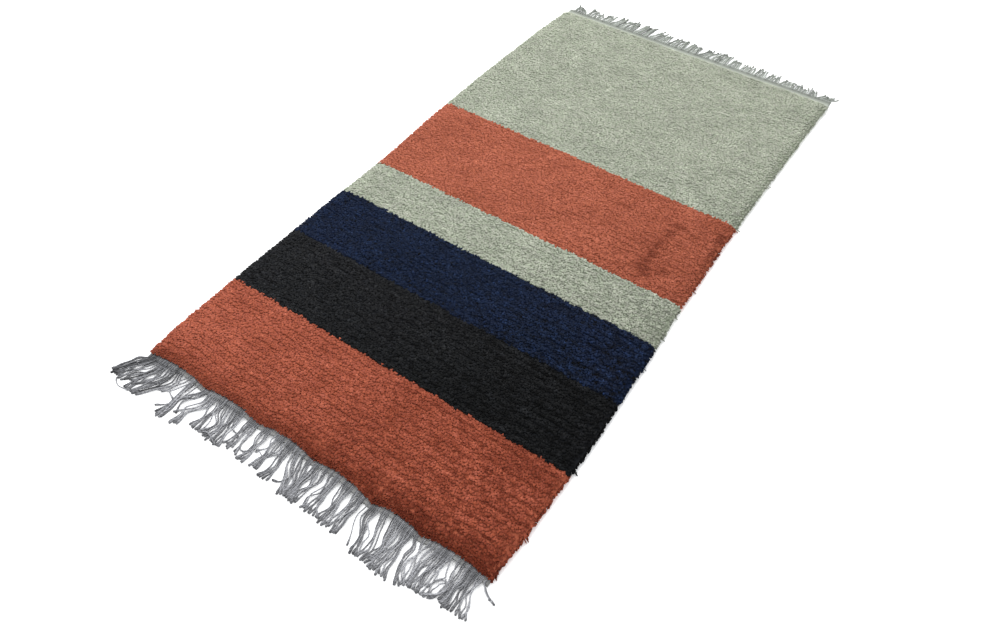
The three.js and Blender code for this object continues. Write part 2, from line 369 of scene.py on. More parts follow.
def wool(name, tones, painted_shade_near, deep, coarse):
    kind = WOOL_KINDS["dark" if max(tones[0]) < 0.1 else "pale"]
    finish = Finish("wool_" + name, 0.95, sheen=kind["sheen"])
    shade, rise, tone = finish.parts("wool")
    place = finish.place()
    long_way = finish.node("ShaderNodeVectorMath", {"operation": "MULTIPLY"}, {0: place, 1: (0.6, 1, 1)})
    slow = finish.noise(9.0, 3.0)
    patches = finish.noise(38.0, 2.0, long_way)
    # The clumps and grain noises are painted shade: lighter and darker patches among the lumps and tufts
    # of the pile, stronger where the wool is coarse.
    clumps = finish.noise(150.0, 1.0, long_way)
    grain = finish.noise(330.0, 1.0, long_way)
    fibres = finish.noise(900.0, 3.0)
    to_camera = finish.axis(place, "X") * 1.4 - finish.axis(place, "Y")
    rough = finish.ramp(to_camera, coarse, (0.2, 1.0)) * kind["coarseness"]
    # The tuft's own tone, together with the shade painted onto the tufts.
    tone_and_painted_shade = (shade - 0.5) * kind["tone_and_painted_shade"] + 1.0
    # Painted light and shade: the sides of a pale tuft are painted lighter than its cut end, as light
    # soaking through, and those of a dark tuft darker.
    sides = finish.ramp(rise, (0.5, 1.0), (kind["sides"], 1.0))
    bright = sides * tone_and_painted_shade * (0.86 + slow * 0.28) * ((patches - 0.5) * kind["patches"] + 1.0)
    bright = bright * ((clumps - 0.5) * rough * 1.1 + 1.0) * ((grain - 0.5) * rough * 0.6 + 1.0)
    # Painted shade: the wool is painted darker towards the near right, away from the lamp at the far left,
    # and its green and blue sink further wherever it is darker.
    bright = bright * (0.9 + fibres * 0.2) * finish.ramp(to_camera, (-0.15, 1.0), (1.0, painted_shade_near))
    finish.set("Base Color", finish.tint(finish.between(tone, *tones), bright, *deep))
    finish.bump(grain + fibres * 0.5, 0.001, 0.35)
    return finish.material


WOOL = {name: wool(name, **yarn) for name, yarn in YARNS.items()}
print("wool finishes:", ", ".join(WOOL))

# %% [markdown]
# ## The ground of the rug
# Under the tufts lies the woven ground, packed with the feet of the knots. It is the sheet of
# cloth that everything else is tied to. It starts as a grid that is extruded upwards into a
# thin closed slab, and its points are then moved to the outline, the rows and the ripple. Its
# columns lie closer together towards the sides, where the pile falls away.

# %% Shape of the ground
def only(obj):
    bpy.ops.object.select_all(action="DESELECT")
    obj.select_set(True)
    bpy.context.view_layer.objects.active = obj
    return obj


def points_of(obj):
    flat = np.empty(len(obj.data.vertices) * 3, np.float32)
    obj.data.vertices.foreach_get("co", flat)
    return flat.reshape(-1, 3).astype(float)


def set_points(obj, points):
    obj.data.vertices.foreach_set("co", np.ascontiguousarray(points, np.float32).ravel())
    obj.data.update()


def slab(name, columns, rows):
    """A flat closed slab of unit size whose top is at height 1 and whose bottom is at 0."""
    bpy.ops.object.select_all(action="DESELECT")
    bpy.ops.mesh.primitive_grid_add(x_subdivisions=columns, y_subdivisions=rows, size=1)
    piece = bpy.context.object
    piece.name = piece.data.name = name
    bpy.ops.object.mode_set(mode="EDIT")
    bpy.ops.mesh.select_all(action="SELECT")
    bpy.ops.mesh.extrude_region_move(TRANSFORM_OT_translate={"value": (0, 0, 1)})
    bpy.ops.mesh.select_all(action="SELECT")
    bpy.ops.mesh.normals_make_consistent(inside=False)
    bpy.ops.object.mode_set(mode="OBJECT")
    return piece


GROUND_SHARE = 0.88
GROUND_INSET = 3.0
GROUND_COLUMNS = 36
ground = slab("ground", GROUND_COLUMNS, ROWS * 2)
unit = points_of(ground)
share = 0.5 + 0.25 * np.sin(unit[:, 0] * np.pi) + 0.5 * unit[:, 0]
along = NEAR_END + (unit[:, 1] + 0.5) * (FAR_END - NEAR_END)
left, right = sides_at(along)
across = left + GROUND_INSET + (right - left - 2 * GROUND_INSET) * share
top = 1 + (pile_height(across, along) - 1) * GROUND_SHARE
set_points(ground, rippled(np.column_stack([across, along, np.where(unit[:, 2] > 0.5, top, 0)])) * MM)
print("ground:", len(ground.data.polygons), "faces")

# %% [markdown]
# The ground shows only as the feet of the knots between tufts, in the stripes' colours, painted
# darker as the shade deep in the pile. Its finish picks the colour from how far along the rug a
# point lies.

# %% Finish of the ground
RAGGED = 0.008


def ground_wool():
    finish = Finish("ground_wool", 0.95)
    ragged = (finish.noise(160.0, 2.0) - 0.5) * RAGGED
    along = finish.axis(finish.place(), "Y") + ragged
    colour = YARNS[STRIPES[0]["yarn"]]["tones"][0]
    for stripe in STRIPES[1:]:
        past = along.math("LESS_THAN", along, stripe["start"] * MM)
        colour = finish.between(past, colour, YARNS[stripe["yarn"]]["tones"][0])
    fibres = finish.noise(700.0, 3.0)
    # Painted shade: the ground is darkened, unevenly with fibre noise, as the shade deep in the pile.
    finish.set("Base Color", finish.tint(colour, 0.62 + fibres * 0.4))
    finish.bump(fibres, 0.001, 0.8)
    return finish.material


ground.data.materials.append(ground_wool())

# %% [markdown]
# ## One tuft
# A tuft is a short end of cut yarn. One is modelled as a three-sided bar that opens towards
# its cut end. With so many tufts on the rug, each may have only a few faces, and fine noise in
# the wool does the rest.

# %% Model the tuft
TUFT_FOOT, TUFT_FLARE, TUFT_DOME = 0.75, 1.45, 0.07


def tuft_template():
    bpy.ops.object.select_all(action="DESELECT")
    bpy.ops.mesh.primitive_cylinder_add(vertices=3, radius=TUFT_FOOT, depth=1, location=(0, 0, 0.5))
    tuft = bpy.context.object
    bpy.ops.object.transform_apply(location=True)
    bpy.ops.object.mode_set(mode="EDIT")
    bpy.ops.mesh.select_mode(type="FACE")
    bpy.ops.mesh.select_all(action="DESELECT")
    bpy.ops.object.mode_set(mode="OBJECT")
    for face in tuft.data.polygons:
        face.select = face.normal.z > 0.9
    bpy.ops.object.mode_set(mode="EDIT")
    bpy.ops.transform.resize(value=(TUFT_FLARE, TUFT_FLARE, 1))
    bpy.ops.mesh.poke(offset=TUFT_DOME)
    bpy.ops.mesh.select_all(action="SELECT")
    bpy.ops.mesh.quads_convert_to_tris()
    bpy.ops.object.mode_set(mode="OBJECT")
    points = points_of(tuft)
    faces = np.array([list(face.vertices) for face in tuft.data.polygons])
    bpy.data.objects.remove(tuft)
    return points, faces


TUFT_POINTS, TUFT_FACES = tuft_template()
print("one tuft has", len(TUFT_FACES), "faces")

# %% [markdown]
# ## All the tufts
# Each row of knots holds four lines of tufts. A tuft's root is at its knot and its cut end
# lies about 8 mm nearer, so each line covers the roots of the next. Where the rows are closed
# the lines are evenly apart, and where they are open a groove is left between each row and
# the next. More lines at the near end curl down over the woven band. Beside the rug's sides
# the tufts are pushed outwards, and the outermost ones are packed onto the side line.

# %% Place the tufts
chance = np.random.default_rng(64)
TUFT_PITCH = 4.1
TUFT_LEAN = 8.0
FIELD_REACH = 384
SIDE_MARGIN = 1.5
STRAY_ACROSS, STRAY_ALONG = 0.8, 1.1
CLOSED_LINES = np.array([0.125, 0.375, 0.625, 0.875])
OPEN_LINES = np.array([0.2, 0.41, 0.61, 0.79])
NOSE_LINES = np.array([0.02, 0.14, 0.25, 0.35])


def patchy(across, along, wide, long):
    """Chance values around 0 that differ from patch to patch and run smoothly between them."""
    u, v = (across - across.min()) / wide, (along - along.min()) / long
    table = chance.normal(0, 1, (int(v.max()) + 2, int(u.max()) + 2))
    i, j = u.astype(int), v.astype(int)
    s, t = smooth(0, 1, u - i), smooth(0, 1, v - j)
    first = table[j, i] * (1 - s) + table[j, i + 1] * s
    second = table[j + 1, i] * (1 - s) + table[j + 1, i + 1] * s
    return first * (1 - t) + second * t


def cut_ends():
    """Where every tuft's cut end lies, with its row and its line."""
    columns = np.arange(-FIELD_REACH, FIELD_REACH, TUFT_PITCH)
    found = []
    for row in range(ROWS + 1):
        for line in range(len(NOSE_LINES) if row == ROWS else len(OPEN_LINES)):
            shift = (TUFT_PITCH / 2) * ((row + line) % 2)
            across = columns + shift + chance.normal(0, STRAY_ACROSS, len(columns))
            opened = open_at(across, FAR_END - (row + 0.5) * ROW_PITCH)
            share = CLOSED_LINES[line] + (OPEN_LINES[line] - CLOSED_LINES[line]) * opened
            stray = chance.normal(0, STRAY_ALONG, len(columns))
            waver = 1.7 * np.sin(across / 47 + row * 0.4) + 1.1 * np.sin(across / 19 + row * 0.9)
            if row == ROWS:
                share, stray, waver = NOSE_LINES[line], 0.4 * stray, 0
            tip = FAR_END - (row + share) * ROW_PITCH + stray + waver * (row < ROWS - 1)
            found.append(np.column_stack([across, tip, row + 0 * across, line + 0 * across]))
    found = np.vstack(found)
    left, right = sides_at(found[:, 1].clip(NEAR_END, FAR_END))
    inside = (found[:, 0] > left + SIDE_MARGIN) & (found[:, 0] < right - SIDE_MARGIN)
    return found[inside & (found[:, 1] < FAR_END - 1)]


tip_x, tip_y, row, line = cut_ends().T.copy()
count = len(tip_x)
left, right = sides_at(tip_y.clip(NEAR_END, FAR_END))
to_side = np.minimum(tip_x - left, right - tip_x)
rightwards = np.where(tip_x > 0, 1, -1)
root_x = tip_x + chance.normal(0, STRAY_ACROSS, count)
root_y = np.clip(tip_y + TUFT_LEAN + chance.normal(0, 1, count), NEAR_END + 1, FAR_END - 1)
tooth = np.where(tip_x > 0, 0.2, 1) * EDGE_TOOTH * (crest_at(tip_y) - 0.5)
outermost = to_side < SIDE_MARGIN + 1.1 * TUFT_PITCH
packed = np.where(outermost, 0.3 * (to_side - SIDE_MARGIN), 1.35 + 1.6 * (to_side - 6))
bumps = np.where(tip_x > 0, 0.3, 1.1) * patchy(tip_x, tip_y, 90, 6)
pushed = to_side - np.minimum(packed, to_side) + 0.3 + tooth + bumps
tip_x += rightwards * pushed * np.clip(2 - to_side / 7, 0, 1)
tip_z = pile_height(tip_x, tip_y) - np.abs(chance.normal(0, 0.35, count))
print("tufts:", count)

# %% [markdown]
# Tufts beside a groove sink, and dark dashes of painted shade run along the rows there. The lines
# of each row, small pits and the clumps of the pile get painted shade too, darkest on each row's
# steep near side. In the far rust stripe a crease parts the pile along a short line, with painted
# shadow in it, and there are a few more spots like it. At the near right a patch of pile is
# painted darker, for pile turned away from the light, and the near end is painted darker where
# it rolls down. A few tufts are much darker or paler than the rest.

# %% Sink and shade the tufts
PARTINGS = [
    # across, along, reach across, reach along, and darkening, the painted shadow in the parting
    (250, 114, 17, 7, 0.24), (243, 92, 8, 12, 0.16), (238, 66, 7, 14, 0.14), (236, 40, 8, 12, 0.18),
    (237, 17, 11, 9, 0.28), (238, -4, 8, 10, 0.2), (240, -27, 14, 8, 0.4), (252, -44, 11, 6, 0.2),
    (277, -15, 10, 7, 0.22), (331, 130, 9, 12, 0.35), (338, 82, 8, 26, 0.32), (126, 106, 14, 5, 0.2),
]
TURNED = {"across": 300, "along": -515, "wide": 60, "long": 30}
LINE_SHADES = np.array([-0.02, 0.03, 0.02, -0.06])
CLUMP_LIFT, DASH_SINK, PARTING_SINK = 0.25, 1.2, 1.5
CLUMP_SHADE, BAND_SHADE, DASH_SHADE, PARTING_SHADE = 0.12, 1.2, 0.24, 2.2
END_SHADE, TURNED_SHADE = 0.2, 0.2
FLECK_SHARE, DARK_FLECK, PALE_FLECK = 0.04, -0.16, 0.2


def spot(across, along, wide, long):
    """1 at a place on the pile, fading to 0 over its reach across and along."""
    return np.exp(-(((tip_x - across) / wide) ** 2) - ((tip_y - along) / long) ** 2)


beside = np.isin(line, (0, 3)) & (row < ROWS)
dash = smooth(0.1, 1.1, patchy(tip_x, row + (line > 1), 9, 1)) * beside
clump = patchy(tip_x, tip_y, 11, 6)
pit = smooth(1.0, 1.9, patchy(tip_x, tip_y, 6, 4))
rough = 0.12 + 0.88 * smooth(100, 1100, 1.4 * tip_x - tip_y)
bands = LINE_SHADES[line.astype(int)] + 0.06 * patchy(tip_x, tip_y, 45, 13)
plain = rows_at(tip_y) * (1 - 0.4 * trodden_at(tip_x, tip_y))
bands, dash = bands * plain, dash * plain
shade = chance.normal(0.5, 0.04, count)
# Painted shade: the clumps, the lines of each row, the dashes and the pits lighten or darken the tufts,
# more where the pile is rough.
shade += (CLUMP_SHADE * clump + BAND_SHADE * bands - DASH_SHADE * (dash + pit)) * rough
tip_z += CLUMP_LIFT * clump - DASH_SINK * (dash + pit) * rough
# Each parting sinks its tufts a little and is given painted shadow.
for across, along, wide, long, darkening in PARTINGS:
    near = spot(across, along, wide, long)
    tip_z -= PARTING_SINK * darkening * near
    shade -= PARTING_SHADE * darkening * near * (1 + 0.3 * clump)
# Painted shade where the near end rolls down, stronger towards the right.
rolled = smooth(NEAR_END + 42, NEAR_END - 6, tip_y)
shade -= END_SHADE * rolled * (1 + 2 * smooth(-50, 300, tip_x))
# Painted shade on a patch at the near right and along the right side there, for pile turned away from the
# light.
turned = (spot(**TURNED) + 0.15 * smooth(300, 350, tip_x)) * smooth(-470, -500, tip_y)
shade -= TURNED_SHADE * turned * (1 + 0.4 * clump)
flecks = chance.random(count)
shade += DARK_FLECK * (flecks < FLECK_SHARE) + PALE_FLECK * (flecks > 1 - FLECK_SHARE)
print("dashes take in", int((dash > 0.4).sum()), "tufts")

# %% [markdown]
# A few ends of yarn have come loose and stick out past the sides.

# %% Loose ends of yarn
LOOSE_ENDS = [
    # along, side, how far out
    (674, 1, 5), (350, 1, 6), (346, 1, 4), (186, 1, 8), (181, 1, 5), (-19, 1, 6), (-97, 1, 4),
    (-156, 1, 5), (-233, 1, 5), (-477, 1, 7), (-474, 1, 4), (-609, 1, 3), (-612, 1, 6),
    (-615, 1, 4), (-682, 1, 4), (640, -1, 4), (420, -1, 4), (233, -1, 5), (96, -1, 4),
    (-238, -1, 4), (-290, -1, 4), (-352, -1, 5), (-396, -1, 6), (-401, -1, 5), (-440, -1, 5),
    (-478, -1, 6), (-484, -1, 5), (-505, -1, 4), (-640, -1, 4),
]
LOOSE_HEIGHT, LOOSE_SHADE, LOOSE_WIDTH = 4.0, 0.4, 1.2
loose = np.array(LOOSE_ENDS, float)
sides = np.where(loose[:, 1] > 0, *sides_at(loose[:, 0])[::-1])
root_x = np.append(root_x, sides - loose[:, 1] * 4)
root_y = np.append(root_y, loose[:, 0] + 3)
tip_x = np.append(tip_x, sides + loose[:, 1] * loose[:, 2])
tip_y = np.append(tip_y, loose[:, 0] - 2)
tip_z = np.append(tip_z, np.full(len(loose), LOOSE_HEIGHT))
shade = np.append(shade, np.full(len(loose), LOOSE_SHADE)).clip(0.02, 0.9)
outermost = np.append(outermost, np.zeros(len(loose), bool))
rough = np.append(rough, np.ones(len(loose)))
count = len(root_x)
print("loose ends of yarn:", len(loose))

# %% [markdown]
# The tuft is now copied onto every root. Each copy is turned by chance, stretched from its root
# to its cut end and a little uneven at the end. The copies of a stripe are joined into one mesh,
# or two where there are very many.

# %% Build the tufts of each stripe
TUFT_WIDTH, OUTERMOST_WIDTH = 3.4, 0.7
ROOT_HEIGHT, LOWEST_TIP = 2.5, 3.5


def tuft_mesh(name, chosen, yarn):
    """Copies the tuft onto the chosen roots and joins the copies into one mesh."""
    n = len(chosen)
    turn = chance.uniform(0, 2 * np.pi, n)
    width = chance.normal(TUFT_WIDTH, 0.3, n).clip(TUFT_WIDTH - 0.8, TUFT_WIDTH + 0.8)
    width[outermost[chosen]] *= OUTERMOST_WIDTH
    width[chosen >= count - len(loose)] = LOOSE_WIDTH
    base = np.column_stack([root_x[chosen], root_y[chosen], np.full(n, ROOT_HEIGHT)])
    tip = np.column_stack([tip_x[chosen], tip_y[chosen], np.maximum(tip_z[chosen], LOWEST_TIP)])
    rise = TUFT_POINTS[:, 2]
    cos, sin = np.cos(turn)[:, None], np.sin(turn)[:, None]
    x = (TUFT_POINTS[:, 0] * cos - TUFT_POINTS[:, 1] * sin) * width[:, None]
    y = (TUFT_POINTS[:, 0] * sin + TUFT_POINTS[:, 1] * cos) * width[:, None]
    span = tip - base
    path = np.stack([span[:, [0]] * rise, span[:, [1]] * rise**1.5, span[:, [2]] * rise**0.8], 2)
    uneven = chance.normal(0, 1, x.shape) * (0.2 + 0.2 * rough[chosen])[:, None] * (rise > 0.9)
    points = base[:, None, :] + path + np.stack([x, y, uneven], 2)
    points = rippled(points.reshape(-1, 3))
    size = len(TUFT_POINTS)
    faces = (TUFT_FACES[None] + (np.arange(n) * size)[:, None, None]).reshape(-1, 3)
    mesh = bpy.data.meshes.new(name)
    mesh.from_pydata((points * MM).tolist(), [], faces.tolist())
    stored = mesh.color_attributes.new("wool", "FLOAT_COLOR", "POINT")
    tone_and_painted_shade, tone = (np.repeat(values, size) for values in (shade[chosen], chance.random(n)))
    colour = np.column_stack([tone_and_painted_shade, np.tile(rise, n), tone, np.ones(n * size)])
    stored.data.foreach_set("color", colour.astype(np.float32).ravel())
    mesh.materials.append(WOOL[yarn])
    piece = bpy.data.objects.new(name, mesh)
    bpy.context.scene.collection.objects.link(piece)
    only(piece)
    bpy.ops.object.shade_smooth()
    return piece


MOST_TUFTS = 19000
tufts = []
edge = tip_y + chance.normal(0, 1.0, count)
for stripe in STRIPES:
    chosen = np.flatnonzero((edge <= stripe["start"]) & (edge > stripe["end"]))
    for part, some in enumerate(np.array_split(chosen, math.ceil(len(chosen) / MOST_TUFTS))):
        tufts.append(tuft_mesh(f"tufts_{stripe['name']}_{part + 1}", some, stripe["yarn"]))
print("tuft pieces:", [(t.name, len(t.data.polygons)) for t in tufts])

# %% [markdown]
# ## Cotton
# The cotton is grey. Each end is given its own copy of its colour, with a blue cast in the near
# fringe and a green one at the far end, as painted light and shade for how differently the two
# ends are lit. The bands are woven flat, warp over weft, and show as fine ribs across the rug,
# with painted shade in the hollows of the weave, and each band is painted brighter beside the
# pile. A loose warp end is two plies twisted together, one lighter than the other, so a slanting
# pattern winds round it, with painted shade in the groove between the plies. Its frayed tip is
# darker towards the end. Near the band the near fringe is painted darker, as the shade of the
# rolled pile.

# %% Cotton finishes
# Lit and shaded copies of one warp cotton: the near and far colours differ as painted light and shade, for
# how each end is lit.
NEAR_COTTON, NEAR_BAND = (0.224, 0.226, 0.238), (0.255, 0.256, 0.252)
FAR_COTTON, FAR_BAND = (0.240, 0.257, 0.232), (0.235, 0.251, 0.220)
WARP_PITCH, WEFT_PITCH = 0.0048, 0.0026


def band_cotton(name, colour):
    finish = Finish(name, 0.9)
    place = finish.place()
    warp = (finish.axis(place, "X") * (2 * math.pi / WARP_PITCH)).wave()
    weft = (finish.axis(place, "Y") * (2 * math.pi / WEFT_PITCH)).wave()
    fibres = finish.noise(800.0, 3.0)
    slow = finish.noise(30.0, 2.0)
    height = warp * 0.4 + weft * 0.6 + fibres * 0.4
    out = finish.parts("band")[0]
    # Painted light and shade: the weave is darker in its hollows than on its ribs, and each band is
    # painted brighter beside the pile, lifting the shade the pile casts on it, and a little darker at its
    # outer edge.
    bright = (0.62 + height * 0.34) * (0.85 + slow * 0.3) * finish.ramp(out, (0.0, 0.7), (1.7, 0.9))
    finish.set("Base Color", finish.tint(colour, bright))
    finish.bump(height, 0.0008, 0.8)
    return finish.material


def strand_cotton(name, colour, root):
    finish = Finish(name, 0.9)
    along, shade, _ = finish.parts("lay")
    place = finish.place("UV")
    twist = (finish.axis(place, "X") * (4 * math.pi) + finish.axis(place, "Y") * 1.0).wave()
    fibres = finish.noise(700.0, 3.0)
    bright = (0.2 + twist * 0.65 + fibres * 0.9) * (0.55 + shade * 0.95) * (1 - along ** 7.0 * 0.5)
    # Painted shade: a stretch of each near warp end just past the band is darkened, as the shade of the
    # rolled pile.
    at_root = finish.ramp(along, (0.0, 0.12), (0.0, 1.0)) * finish.ramp(along, (0.13, 0.34), (1.0, 0.0))
    bright = bright * (1 - at_root * root)
    finish.set("Base Color", finish.tint(colour, bright))
    finish.bump(twist * 0.7 + fibres * 0.3, 0.0007, 0.8)
    return finish.material


BAND = {"near": band_cotton("band_near", NEAR_BAND), "far": band_cotton("band_far", FAR_BAND)}
STRAND = {
    "near": strand_cotton("strand_near", NEAR_COTTON, 0.4),
    "far": strand_cotton("strand_far", FAR_COTTON, 0.0),
}

# %% [markdown]
# ## The end bands
# A flat-woven band finishes each end of the weave. It is made like the ground, as a thin slab,
# with a soft rib for each pass of the weft in its top.

# %% Build the bands
GAP = 0.3
NEAR_BAND_WIDTH, FAR_BAND_WIDTH = 14.2, 27.4
BAND_THICK = 3.2
BAND_RIBS, RIB_HEIGHT = 6, 0.35


def band(end, inner, outer):
    piece = slab(end + "_band", 160, 12)
    unit = points_of(piece)
    share = np.sign(outer) * unit[:, 1] + 0.5
    left, right = sides_at(np.array(inner))
    across = left + 2 + (right - left - 4) * (unit[:, 0] + 0.5)
    wander = 0.5 * np.sin(across / 23.0) * share
    along = inner + (outer - inner) * share + wander
    soft = np.minimum(1, (1 - share) * 10 + 0.35)
    rib = RIB_HEIGHT * np.sin(share * BAND_RIBS * 2 * np.pi) * (share > 0.05) * (share < 0.95)
    top = BAND_THICK * soft - RIB_HEIGHT + rib
    height = np.where(unit[:, 2] > 0.5, top, 0)
    set_points(piece, rippled(np.column_stack([across, along, height])) * MM)
    stored = piece.data.color_attributes.new("band", "FLOAT_COLOR", "POINT")
    stored.data.foreach_set("color", np.repeat(share, 4).astype(np.float32))
    piece.data.materials.append(BAND[end])
    only(piece)
    bpy.ops.object.shade_smooth()
    return piece


NEAR_BAND_EDGE = NEAR_END - GAP - NEAR_BAND_WIDTH
FAR_BAND_EDGE = FAR_END + GAP + FAR_BAND_WIDTH
near_band = band("near", NEAR_END - GAP, NEAR_BAND_EDGE)
far_band = band("far", FAR_END + GAP, FAR_BAND_EDGE)
print("bands:", len(near_band.data.polygons), "faces each")

# %% [markdown]
# ## One warp end
# A warp end is modelled once, straight, as a six-sided bar with rings along it and a frayed,
# wider tip. Its copies are then bent along the middle lines of the fringe's ends.

# %% Model the warp end
STRAND_RINGS = 20
TIP_FLARE, TIP_ROUND = 0.85, 0.4


def strand_template():
    bpy.ops.object.select_all(action="DESELECT")
    bpy.ops.mesh.primitive_cylinder_add(vertices=6, radius=1, depth=1, location=(0, 0, 0.5))
    strand = bpy.context.object
    bpy.ops.object.transform_apply(location=True)
    bpy.ops.object.mode_set(mode="EDIT")
    bpy.ops.mesh.select_mode(type="EDGE")
    bpy.ops.mesh.select_all(action="DESELECT")
    bpy.ops.object.mode_set(mode="OBJECT")
    points = strand.data.vertices
    for edge in strand.data.edges:
        low, high = (points[v].co.z for v in edge.vertices)
        edge.select = abs(low - high) > 0.5
    bpy.ops.object.mode_set(mode="EDIT")
    bpy.ops.mesh.subdivide(number_cuts=STRAND_RINGS - 1)
    bpy.ops.object.mode_set(mode="OBJECT")
    co = points_of(strand)
    flare = 1 + TIP_FLARE * smooth(0.82, 0.96, co[:, 2]) - TIP_ROUND * (co[:, 2] > 0.99)
    co[:, :2] *= flare[:, None]
    faces = [list(face.vertices) for face in strand.data.polygons]
    bpy.data.objects.remove(strand)
    return co, faces


STRAND_POINTS, STRAND_FACES = strand_template()
print("one warp end has", len(STRAND_FACES), "faces")

# %% [markdown]
# ## The bundles of the fringe
# The warp ends have gathered into loose bundles. Each bundle of the near fringe is fed by a
# stretch of the band, draws in or fans out at its stops and ends in a clump of tips. Some
# single ends cross from one bundle to the next. The far fringe is shorter, so its bundles are
# given by their tips alone: gather is how far the ends stay apart there, as a share of their
# roots, and reach is how far they lie out. A few curls and loops of warp lie on the rest.

